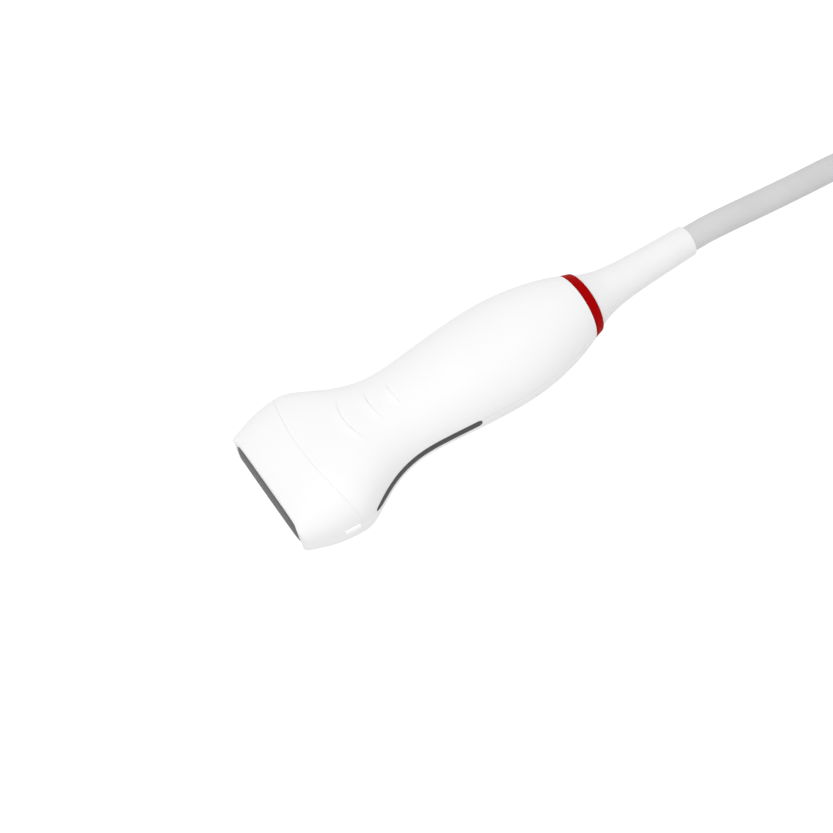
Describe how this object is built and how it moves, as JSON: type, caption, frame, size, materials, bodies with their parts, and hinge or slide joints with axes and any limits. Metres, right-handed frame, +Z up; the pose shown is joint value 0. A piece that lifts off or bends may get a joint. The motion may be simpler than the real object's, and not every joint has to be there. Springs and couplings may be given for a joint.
{
  "type": "ultrasound transducer probe",
  "caption": "Hand-held linear-array ultrasound transducer probe with a waisted white handle, flat lens face, colour ring, strain relief and a hanked cable that ends in a scanner connector",
  "frame": {"origin": "on the surface that the probe lies on, below the middle of the probe's own box (nosepiece to strain relief, without the cable)", "axes": "+X along the probe from the lens to the cable, +Y across its broad face, +Z up, out of the broad face that lies uppermost"},
  "size_m": [0.6049, 0.0668, 0.0374],
  "materials": {
    "white_plastic": "fine satin moulding",
    "marker_plastic": "smooth",
    "lens_rubber": "smooth matte",
    "strip_rubber": "matte",
    "red_plastic": "glossy",
    "boot_rubber": "matte",
    "cable_jacket": "matte",
    "seal_rubber": "matte",
    "piezo_ceramic": "diced ceramic",
    "filled_epoxy": "cast",
    "polyimide": "thin film",
    "aluminium": "machined",
    "copper_shield": "formed sheet",
    "circuit_board": "solder mask",
    "dark_plastic": "moulded",
    "grey_plastic": "textured moulding",
    "plated_steel": "plated",
    "coax_jackets": "fine coax jackets"
  },
  "bodies": {
    "root": {"acoustic_lens": "lens_rubber", "nosepiece": "white_plastic", "nose_seal": "seal_rubber", "orientation_marker": "marker_plastic", "matching_layer_outer": "filled_epoxy", "matching_layer_inner": "filled_epoxy", "piezo_array": "piezo_ceramic", "backing_block": "filled_epoxy", "array_carrier": "aluminium", "interconnect_board": "circuit_board", "flex_circuit_upper": "polyimide", "flex_circuit_lower": "polyimide", "flex_socket_upper": "dark_plastic", "flex_socket_lower": "dark_plastic", "shield_upper": "copper_shield", "shield_lower": "copper_shield", "coax_bar_upper": "plated_steel", "coax_bar_lower": "plated_steel", "coax_bundle": "coax_jackets", "crimp_ferrule": "aluminium", "handle_upper": "white_plastic", "handle_lower": "white_plastic", "grip_strip_near": "strip_rubber", "grip_strip_far": "strip_rubber", "colour_ring": "red_plastic", "strain_relief": "boot_rubber", "cable": "cable_jacket", "cable_hank": "cable_jacket", "cable_end": "cable_jacket", "cable_tie": "strip_rubber", "connector_boot": "boot_rubber", "connector_top": "grey_plastic", "connector_bottom": "grey_plastic", "contact_shroud": "plated_steel", "contact_block": "dark_plastic", "connector_board": "circuit_board"}
  },
  "joints": []
}
